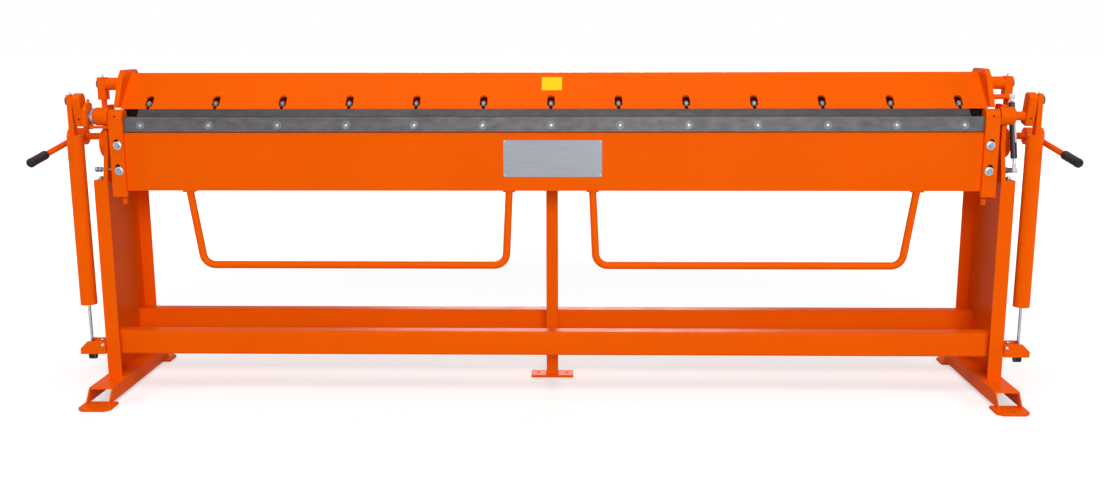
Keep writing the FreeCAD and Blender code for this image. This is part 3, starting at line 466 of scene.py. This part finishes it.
# Fittings that no other face gives a place.
BAR_BOLTS_Z = (920.5, 829.0)
BAR_SLOTS_Z = (926.0, 836.0)
ADJUSTER_X, ADJUSTER_Y = 1543, -106
ARM_GRUB_X, ARM_GRUB_Y, ARM_GRUB_Z = 1681, -126.8, 1014.0
CAP_BOLT_X = 1629
CAP_BOLTS_Y = (-98.0, 206.0)
LEFT_STUD_Y, LEFT_STUD_Z = -106, 832

# The edges of the bare plate on the apron, and the margin of its rivets.
NAME_PLATE_LEFT, NAME_PLATE_RIGHT = -169, 183
NAME_PLATE_LOW, NAME_PLATE_HIGH = 806, 938
NAME_PLATE_THICK = 1.0
RIVET_MARGIN = 6


def bar_bolt_places():
    """The places of the end bars' four bolts, a little inside the bars' middles."""
    return [
        aimed(side * (BAR_MIDDLE - 4), BAR_FRONT, z, FRONT) for side in BOTH_ENDS for z in BAR_BOLTS_Z
    ]


def bar_bolts(shape):
    """The washers and flanges of the bolts in the end bars' slots."""
    for place in bar_bolt_places():
        washer(shape, place, bore=6.0, radius=15.5, thick=3.0)
        turned(shape, place, [(12.6, 3.0), (12.6, 3.9), (11.4, 4.6)], sides=36)


def bar_bolt_heads(shape):
    """The hexagon heads on the bolts' flanges, each with a turned rim on top, in bluish zinc set darker
    than the washers as painted shade.
    """
    for place in bar_bolt_places():
        hexagon(shape, place, across=18.0, high=9.0, base=3.6)
        turned(shape, place, [(7.2, 12.5), (7.0, 13.0), (6.2, 13.0), (5.8, 12.7)], sides=28)


def bar_slot_shade_plates(shape):
    """Dark plates that close the end bars' slots, a little below the bars' faces: painted shade inside the
    slots.
    """
    for side in BOTH_ENDS:
        for z in BAR_SLOTS_Z:
            place = aimed(side * BAR_MIDDLE, BAR_FRONT + 3.0, z, FRONT)
            plate(shape, place, wide=17.8, high=33.8, thick=0.5, corner=8.8)


def strip_screws(shape):
    """The screws along the strip: a raised ring round each, and its head."""
    for x in STRIP_SCREWS:
        place = aimed(x, STRIP_FRONT, STRIP_SCREW_Z, FRONT)
        turned(shape, place, [
            (12.4, 0.05), (12.8, 0.30), (14.0, 0.30), (14.6, 0.05),
        ], sides=40, hollow=True)
        turned(shape, place, [
            (9.4, -0.2), (9.2, 0.25), (8.4, 0.35), (5.6, 0.35), (5.2, 0.10),
        ], sides=32)


def strip_screw_points(shape):
    """The bright middles of the same screws."""
    for x in STRIP_SCREWS:
        domed(shape, aimed(x, STRIP_FRONT, STRIP_SCREW_Z - 0.5, FRONT), radius=4.6, high=1.1, sides=20)


def strip_seam_shadow(shape):
    """A dark bead in the joint between the strip and the apron below it: a painted shadow under the strip's
    lower edge.
    """
    low = STRIP_LOW.z
    rail(shape, STRIP_HIGH.x - 1.0, (
        (APRON_FRONT + 0.5, low - 3.2), (APRON_FRONT - 0.6, low - 2.8), (STRIP_FRONT + 0.6, low - 0.4),
        (STRIP_FRONT + 0.6, low + 0.2), (APRON_FRONT + 0.5, low + 0.2),
    ))


def lip_seam_shadow(shape):
    """A dark bead in the joint between the clamping blade and the leaning plate's lip: a painted shadow
    under the lip.
    """
    rail(shape, BLADE_END - 1.0, (
        (LIP_Y + 1.0, LIP_Z - 2.8), (LIP_Y - 1.2, LIP_Z - 2.6), (LIP_Y - 1.2, LIP_Z - 0.8),
        (LIP_Y - 0.4, LIP_Z - 0.2), (LIP_Y + 1.0, LIP_Z - 0.2),
    ))


def gap_shade_plates(shape):
    """Dark plates on the bed that close the gap beside the blades' ends: painted shade in that gap."""
    for side in BOTH_ENDS:
        for x, y, wide, high, thick in ((1538, 60.0, 108.0, 31.0, 6.0), (1504, -66.0, 40.0, 30.0, 5.0)):
            place = aimed(side * x, y, BED_TOP + high / 2, FRONT)
            plate(shape, place, wide, high, thick, corner=1.5)


def window_notch_shade(shape):
    """Thin dark sheets on the lip below the windows, the painted shade of the notches there."""
    up_the_lean = 6.0 * math.sqrt(0.5)
    for x in WINDOWS:
        place = leaning(x, LIP_Y + up_the_lean, LIP_Z + up_the_lean)
        plate(shape, place, wide=11.0, high=12.6, thick=0.3, corner=1.0)


def window_bolts(shape):
    """A nut on an upright stud inside each window of the leaning plate."""
    for x in WINDOWS:
        place = aimed(x, LIP_Y + 22.5, LIP_Z + 10, UP)
        washer(shape, place, bore=5.5, radius=9.5, thick=1.8)
        hexagon(shape, place, across=15.0, high=11.0, base=1.8)
        turned(shape, place, [
            (5.0, 12.0), (5.0, 13.2), (4.5, 13.8), (5.0, 14.4), (4.5, 15.0), (5.0, 15.6), (4.2, 16.6),
        ], sides=20)


def window_studs(shape):
    """The lower ends of the studs, which show under the lip in front of the blade."""
    for x in WINDOWS:
        place = aimed(x, LIP_Y - 2.5, LIP_Z - 21, UP)
        turned(shape, place, [(3.6, 0.0), (4.2, 0.8), (4.2, 17.0), (3.8, 20.0)], sides=18)


def adjusters(shape):
    """The painted adjusting screws that hang from the apron's underside."""
    for side in BOTH_ENDS:
        place = aimed(side * ADJUSTER_X, ADJUSTER_Y, APRON_UNDERSIDE, DOWN)
        turned(shape, place, [(5.0, -1.0), (5.0, 27.0), (9.5, 30.0), (9.5, 45.0), (8.0, 50.0)], sides=24)


def grub_screws(shape):
    """Small dark socket screws in the end bars' heads, at the height of the bend line."""
    for side in BOTH_ENDS:
        socket_screw(shape, aimed(side * (BAR_MIDDLE + 1), BAR_FRONT, BEND_Z + 1, FRONT))


def arm_grubs(shape):
    """The socket screws that pinch the arms on their shafts, in the arms' leaning fronts."""
    lean = math.radians(13.5)
    way = (0, -math.cos(lean), -math.sin(lean))
    for side in BOTH_ENDS:
        socket_screw(shape, aimed(side * ARM_GRUB_X, ARM_GRUB_Y, ARM_GRUB_Z, way))


def arm_pin_place(side):
    """The place of an arm's pin, on the outer face of its hanger."""
    return aimed(side * (ARM_OUTER - 5.7), ARM_PIN_Y, ARM_PIN_Z, outward(side))


def arm_rings(shape):
    """Dark retaining rings on the outer ends of the arms' pins."""
    for side in BOTH_ENDS:
        washer(shape, arm_pin_place(side), bore=10.2, radius=15.5, thick=7.0)


def arm_pin_ends(shape):
    """The bright ends of the arms' pins inside their rings."""
    rings = [(10.3, 4.4), (10.3, 8.0), (9.2, 9.2), (4.0, 9.2), (3.4, 8.4)]
    for side in BOTH_ENDS:
        turned(shape, arm_pin_place(side), rings, sides=32)


def lift_caps(shape):
    """Grey retaining rings on the lifting pins, and the pins' ends inside them."""
    for side in BOTH_ENDS:
        place = aimed(side * (LIFT_PIN_END - 0.4), LIFT_Y, LIFT_Z, outward(side))
        washer(shape, place, bore=9.0, radius=16.0, thick=5.6)
        turned(shape, place, [(11.4, 5.6), (11.0, 7.4), (9.8, 8.2), (4.5, 8.2), (3.8, 7.4)], sides=32)


def nipple(x, y, z):
    """A small grease nipple that stands upright."""
    def build(shape):
        place = aimed(x, y, z, UP)
        hexagon(shape, place, across=9.0, high=4.5, base=-0.5)
        turned(shape, place, [
            (3.0, 3.8), (2.6, 6.0), (3.9, 7.4), (4.0, 9.2), (2.8, 11.2), (1.2, 11.8),
        ], sides=18)
    return build


def cap_bolts(shape):
    """Bolts through the leg caps that hold the side plates."""
    for side in BOTH_ENDS:
        for y in CAP_BOLTS_Y:
            place = aimed(side * CAP_BOLT_X, y, LEG_TOP, UP)
            washer(shape, place, bore=5.0, radius=10.5, thick=2.0)
            hexagon(shape, place, across=16.0, high=8.0, base=2.0)
            turned(shape, place, [(4.8, 9.8), (4.8, 11.5), (4.0, 12.3)], sides=20)


def left_stud(shape):
    """A threaded stud through the left side plate, with a washer on the plate and two nuts further out."""
    inner_end = 1566
    to_plate = SIDE_OUTER - inner_end
    root, crest, half_pitch = 4.5, 5.0, 1.98
    place = aimed(-inner_end, LEFT_STUD_Y, LEFT_STUD_Z, outward(LEFT))
    rings = [(4.4, 0.0)]
    for index in range(41):
        rings.append((crest if index % 2 else root, 0.6 + index * half_pitch))
    turned(shape, place, rings, sides=18)
    for gap in (10, 24):
        hexagon(shape, place, across=19.0, high=9.0, base=to_plate + gap)
    washer(shape, place, bore=5.0, radius=11.5, thick=2.0, base=to_plate)


def gas_stud(shape):
    """The steel nut and spacer on the gas spring's lower stud."""
    place = aimed(SIDE_OUTER + 0.4, GAS_LOW.y, GAS_LOW.z, outward(RIGHT))
    hexagon(shape, place, across=21.0, high=11.0)
    turned(shape, place, [(9.4, 11.0), (9.4, 23.2), (8.4, 24.4)], sides=28)


def bracket_bolts(shape):
    """Bolts that hold each rod bracket to its leg, on both flanges."""
    low, high = corners("rod_brackets")
    flange_thick = 6
    near_x, near_z = 1653, 184.5
    far_x, far_z = 1676, 189.5
    for side in BOTH_ENDS:
        domed(shape, aimed(side * near_x, low.y, near_z, FRONT), radius=6.4, high=5.0)
        domed(shape, aimed(side * far_x, high.y - flange_thick, far_z, FRONT), radius=6.4, high=5.0)
        hexagon(shape, aimed(side * near_x, high.y, near_z, BACK), across=11.0, high=5.0)


def rod_seat(side):
    """The black shell round a spring rod's rocking seat."""
    def build(shape):
        long = 26.4
        place = aimed(side * ROD_SEAT_X - long / 2, ROD_SEAT_Y, ROD_SEAT_Z, outward(RIGHT))
        turned(shape, place, [(10.5, 0.0), (12.8, 1.6), (12.8, long - 1.6), (10.5, long)], sides=36)
    return build


def gas_axis():
    """The direction of the gas spring, from its top ball down."""
    return (GAS_LOW - GAS_TOP).normalized()


def gas_point(along):
    """A point on the gas spring's axis, at a distance below the top ball."""
    return GAS_TOP + gas_axis() * along


def gas_label(shape):
    """A bare white label wrapped part of the way round the barrel."""
    outer_radius, inner_radius = 11.75, 11.4
    down_barrel = (92.0, 96.0, 164.0, 168.0)
    start, sweep, steps = 8, 74, 10
    side = Vector(outward(RIGHT))
    front = gas_axis().cross(side)

    def sheet(radius):
        """One face of the label: a row of points round the barrel at each distance down it."""
        rows = []
        for along in down_barrel:
            row = []
            for step in range(steps + 1):
                angle = math.radians(start + sweep * step / steps)
                offset = side * math.cos(angle) + front * math.sin(angle)
                row.append(shape.verts.new((gas_point(along) + offset * radius) * MM))
            rows.append(row)
        return rows

    outer, inner = sheet(outer_radius), sheet(inner_radius)
    last = len(down_barrel) - 1
    for grid, flip in ((outer, False), (inner, True)):
        for row in range(last):
            for step in range(steps):
                quad = [grid[row][step], grid[row][step + 1], grid[row + 1][step + 1], grid[row + 1][step]]
                shape.faces.new(list(reversed(quad)) if flip else quad)
    rim = [(0, step) for step in range(steps)]
    rim += [(row, steps) for row in range(last)]
    rim += [(last, step) for step in range(steps, 0, -1)]
    rim += [(row, 0) for row in range(last, 0, -1)]
    for (row, step), (next_row, next_step) in zip(rim, rim[1:] + rim[:1]):
        shape.faces.new((
            outer[row][step], outer[next_row][next_step], inner[next_row][next_step], inner[row][step],
        ))


def gas_socket(along, toward):
    """A pale moulded ball socket over an end of the gas spring, with its neck toward the barrel."""
    def build(shape):
        point = gas_point(along)
        turned(shape, aimed(GAS_TOP.x - 9.8, point.y, point.z, outward(RIGHT)), [
            (7.6, 0.0), (9.5, 1.6), (9.5, 17.6), (7.6, 19.4),
        ], sides=36)
        neck = (gas_point(along + toward) - point).normalized()
        place = aimed(point.x, point.y, point.z, neck)
        turned(shape, place, [(6.6, 4.0), (6.6, 13.0), (7.0, 15.0), (7.0, 18.0), (6.0, 19.0)], sides=28)
    return build


def gas_collar(shape):
    """The black guide at the barrel's open end."""
    point = gas_point(GAS_BARREL_END)
    place = aimed(point.x, point.y, point.z, gas_axis())
    turned(shape, place, [
        (5.7, 0.0), (11.9, 0.0), (11.9, 2.4), (10.6, 4.2), (8.0, 5.0), (5.7, 5.0),
    ], sides=36, hollow=True)


def grip_rings(shape):
    """The moulded rings round the lever grips, at distances from the grips' ends."""
    for side in BOTH_ENDS:
        reach = Vector((side * LEVER_OUT, -LEVER_FORWARD, -LEVER_DOWN))
        end = Vector((side * LEVER_X, LEVER_SHAFT_Y, LEVER_SHAFT_Z)) + reach
        place = aimed(end.x, end.y, end.z, reach)
        for start in (-10.0, -16.0, -89.0):
            turned(shape, place, [
                (15.6, start), (16.4, start + 0.8), (16.4, start + 2.2), (15.6, start + 3.0),
            ], sides=40, hollow=True)


def name_plate(shape):
    """The bare grey plate on the apron."""
    middle_x = (NAME_PLATE_LEFT + NAME_PLATE_RIGHT) / 2
    middle_z = (NAME_PLATE_LOW + NAME_PLATE_HIGH) / 2
    wide, high = NAME_PLATE_RIGHT - NAME_PLATE_LEFT, NAME_PLATE_HIGH - NAME_PLATE_LOW
    plate(shape, aimed(middle_x, APRON_FRONT, middle_z, FRONT), wide, high, NAME_PLATE_THICK, corner=3.0)


def name_plate_rivets(shape):
    """A rivet in each corner of the bare plate."""
    for x in (NAME_PLATE_LEFT + RIVET_MARGIN, NAME_PLATE_RIGHT - RIVET_MARGIN):
        for z in (NAME_PLATE_LOW + RIVET_MARGIN, NAME_PLATE_HIGH - RIVET_MARGIN):
            domed(shape, aimed(x, APRON_FRONT - NAME_PLATE_THICK, z, FRONT), radius=2.6, high=1.4)


def yellow_label(shape):
    """The bare yellow label on the leaning plate."""
    middle_x, middle_z = 2.2, 1131.15
    place = leaning(middle_x, LIP_Y + middle_z - LIP_Z, middle_z)
    plate(shape, place, wide=73.5, high=63.8, thick=0.4, corner=1.5)


def frame_welds(shape):
    """Weld beads where the legs stand on the feet and meet the rails, and round the post's lower end."""
    on_foot = FOOT_TOP + 0.5
    for side in BOTH_ENDS:
        inner, outer = side * (LEG_LOW.x + 2), side * (LEG_HIGH.x - 2)
        for y in (LEG_LOW.y, LEG_HIGH.y):
            bead(shape, [(inner, y, on_foot), (outer, y, on_foot)], radius=2.0)
        face = side * (LEG_HIGH.x + 0.3)
        bead(shape, [(face, LEG_LOW.y + 4.5, on_foot), (face, LEG_HIGH.y - 4.5, on_foot)], radius=2.0)
        web = side * (LEG_HIGH.x - 5)
        for low, high in (corners("front_rail"), corners("rear_rail")):
            bead(shape, [
                (web, low.y, low.z + 8), (web, low.y, high.z - 8), (web, low.y + 8, high.z),
                (web, high.y - 8, high.z), (web, high.y, high.z - 8),
            ], radius=2.2)
    low, high = corners("centre_post")
    z = low.z + 0.5
    bead(shape, [
        (low.x, low.y, z), (high.x, low.y, z), (high.x, high.y, z), (low.x, high.y, z), (low.x, low.y, z),
    ], radius=2.2)


def clamp_welds(shape):
    """Weld beads round the lifting bosses on the end plates."""
    face = corners("lift_boss_right")[0].x + 0.4
    for side in BOTH_ENDS:
        bead(shape, circle(side * face, LIFT_Y, LIFT_Z, radius=23.2), radius=2.0)


def fold_welds(shape):
    """Weld beads round the roots of the shafts on the end bars."""
    for side in BOTH_ENDS:
        bead(shape, circle(side * (BAR_OUTER + 0.4), BEND_Y, BEND_Z, radius=16.4), radius=1.8)


def drive_welds(shape):
    """Weld beads round the ends of the levers' shaft."""
    for side in BOTH_ENDS:
        x = side * (LEVER_SHAFT_END - 0.4)
        bead(shape, circle(x, LEVER_SHAFT_Y, LEVER_SHAFT_Z, radius=12.9), radius=1.6)


def hinge_rings(shape):
    """The hinge pins' rings on the outer faces of the side plates."""
    for side in BOTH_ENDS:
        place = aimed(side * (SIDE_OUTER + 0.2), HINGE_Y, HINGE_Z, outward(side))
        washer(shape, place, bore=15.4, radius=24.0, thick=2.5)


piece("bar_bolts", "folding_beam", bright_steel, bar_bolts)
piece("bar_bolt_heads", "folding_beam", zinc_blue_and_shade, bar_bolt_heads)
piece("bar_slot_shade_plates", "folding_beam", shade_and_screw_black, bar_slot_shade_plates)
piece("strip_screws", "folding_beam", screw_grey, strip_screws)
piece("strip_screw_points", "folding_beam", bright_steel, strip_screw_points)
piece("strip_seam_shadow", "folding_beam", shade_and_screw_black, strip_seam_shadow)
piece("adjusters", "folding_beam", orange, adjusters)
piece("grub_screws", "folding_beam", shade_and_screw_black, grub_screws)
piece("arm_grub_screws", "folding_beam", shade_and_screw_black, arm_grubs)
piece("arm_pin_rings", "folding_beam", tool_steel, arm_rings)
piece("arm_pin_ends", "folding_beam", bright_steel, arm_pin_ends)
piece("name_plate", "folding_beam", plate_grey, name_plate)
piece("name_plate_rivets", "folding_beam", bright_steel, name_plate_rivets)
piece("fold_welds", "folding_beam", orange, fold_welds)
piece("window_bolts", "clamping_beam", screw_grey, window_bolts)
piece("window_notch_shade", "clamping_beam", shade_and_screw_black, window_notch_shade)
piece("lip_seam_shadow", "clamping_beam", shade_and_screw_black, lip_seam_shadow)
piece("window_studs", "clamping_beam", tool_steel, window_studs)
piece("lift_pin_caps", "clamping_beam", tool_steel, lift_caps)
piece("yellow_label", "clamping_beam", label_yellow, yellow_label)
piece("clamp_welds", "clamping_beam", orange, clamp_welds)
piece("cap_bolts", "frame", bright_steel, cap_bolts)
piece("left_stud", "frame", zinc_blue_and_shade, left_stud)
piece("gas_stud_nut", "frame", tool_steel, gas_stud)
piece("gap_shade_plates", "frame", shade_and_screw_black, gap_shade_plates)
piece("bracket_bolts", "frame", bright_steel, bracket_bolts)
piece("frame_welds", "frame", orange, frame_welds)
piece("hinge_rings", "frame", orange, hinge_rings)
piece("drive_welds", "clamp_drive", orange, drive_welds)
piece("grip_rings", "clamp_drive", grip_plastic, grip_rings)
piece("gas_label", "gas_cylinder", socket_white, gas_label)
piece("gas_collar", "gas_cylinder", gas_black, gas_collar)
piece("gas_socket_top", "gas_cylinder", socket_white, gas_socket(0.0, 1.0))
piece("gas_socket_low", "gas_rod", socket_white, gas_socket(GAS_LOW_BALL, -1.0))
for name, side in (("left", LEFT), ("right", RIGHT)):
    piece(f"rod_seat_{name}", f"spring_rod_{name}", grip_plastic, rod_seat(side))
    on_link = nipple(side * LINK_MIDDLE, LIFT_Y, LINK_HIGH.z)
    piece(f"link_nipple_{name}", f"clamp_link_{name}", bright_steel, on_link)
    on_hanger = nipple(side * HANGER_X, ARM_PIN_Y, HANGER_TOP)
    piece(f"hanger_nipple_{name}", f"spring_tube_{name}", bright_steel, on_hanger)


def add_floor():
    """A wide floor that looks white to the camera, and less so near the object, where its shadow falls."""
    half, level = 60.0, -0.0005
    fade_start, fade_end = 1.6, 6.0
    near_glow, far_glow = 0.50, 1.0
    mesh = bpy.data.meshes.new("floor")
    shape = bmesh.new()
    rim = [shape.verts.new((x * half, y * half, level)) for x, y in ((-1, -1), (1, -1), (1, 1), (-1, 1))]
    shape.faces.new(rim)
    shape.to_mesh(mesh)
    shape.free()
    floor = bpy.data.objects.new("floor", mesh)
    SCENE.collection.objects.link(floor)
    material, tree, shader = new_material("floor_white", FLOOR_WHITE, 0.95)
    shader.inputs["Specular IOR Level"].default_value = 0.0
    place = tree.nodes.new("ShaderNodeNewGeometry")
    length = tree.nodes.new("ShaderNodeVectorMath")
    length.operation = "LENGTH"
    fade = tree.nodes.new("ShaderNodeMapRange")
    fade.interpolation_type = "SMOOTHSTEP"
    fade.inputs["From Min"].default_value = fade_start
    fade.inputs["From Max"].default_value = fade_end
    fade.inputs["To Min"].default_value = near_glow
    fade.inputs["To Max"].default_value = far_glow
    tree.links.new(place.outputs["Position"], length.inputs[0])
    tree.links.new(length.outputs["Value"], fade.inputs["Value"])
    glow = arithmetic(tree, "MULTIPLY", seen_directly(tree), fade.outputs["Result"])
    shader.inputs["Emission Color"].default_value = FULL_WHITE
    tree.links.new(glow, shader.inputs["Emission Strength"])
    mesh.materials.append(material)


def add_lights():
    """Soft studio light: large lamps in front, above and behind, and a dim one at each end."""
    for name, place, aim, size, power in (
        ("key", (1.2, -10.0, 4.0), (0, 0, 0.7), 5.0, 690),
        ("top", (0, -1.2, 5.5), (0, 0, 0.6), 5.0, 140),
        ("rear", (0.0, 10.0, 3.6), (0, 0, 0.7), 5.0, 540),
        ("side_left", (-4.2, -0.6, 1.7), (-1.6, 0, 0.7), 1.4, 30),
        ("side_right", (4.2, -0.6, 1.7), (1.6, 0, 0.7), 1.4, 30),
    ):
        lamp = bpy.data.lights.new(name, "AREA")
        lamp.shape = "DISK"
        lamp.size = size
        lamp.energy = power
        holder = bpy.data.objects.new(name, lamp)
        holder.location = place
        holder.visible_camera = False
        holder.rotation_euler = (Vector(aim) - Vector(place)).to_track_quat("-Z", "Y").to_euler()
        SCENE.collection.objects.link(holder)


def white_background(tree, strength):
    """Plain white light from all round."""
    background = tree.nodes.new("ShaderNodeBackground")
    background.inputs["Color"].default_value = FULL_WHITE
    background.inputs["Strength"].default_value = strength
    return background.outputs[0]


def set_world():
    """A pale world that lights the object softly and shows as white behind it."""
    world = bpy.data.worlds.new("studio")
    SCENE.world = world
    world.use_nodes = True
    tree = world.node_tree
    tree.nodes.clear()
    choose = tree.nodes.new("ShaderNodeMixShader")
    out = tree.nodes.new("ShaderNodeOutputWorld")
    tree.links.new(seen_directly(tree), choose.inputs["Fac"])
    tree.links.new(white_background(tree, 0.09), choose.inputs[1])
    tree.links.new(white_background(tree, 1.0), choose.inputs[2])
    tree.links.new(choose.outputs[0], out.inputs["Surface"])


def add_camera():
    """The photograph's camera: 4.1 m in front, looking slightly down."""
    data = bpy.data.cameras.new("photo_camera")
    data.sensor_fit = "HORIZONTAL"
    data.sensor_width = 36.0
    data.lens = 36.64
    camera = bpy.data.objects.new("photo_camera", data)
    place = (0.0897, -4.1045, 1.3206)
    pitch, yaw, roll = math.radians(10.58), math.radians(1.23), math.radians(0.13)
    turn = Matrix.Rotation(yaw, 3, "Z")
    turn = turn @ Matrix.Rotation(math.pi / 2 - pitch, 3, "X")
    turn = turn @ Matrix.Rotation(-roll, 3, "Z")
    camera.matrix_world = Matrix.Translation(place) @ turn.to_4x4()
    SCENE.collection.objects.link(camera)
    SCENE.camera = camera


add_floor()
add_lights()
set_world()
add_camera()
SCENE.view_settings.view_transform = "Standard"
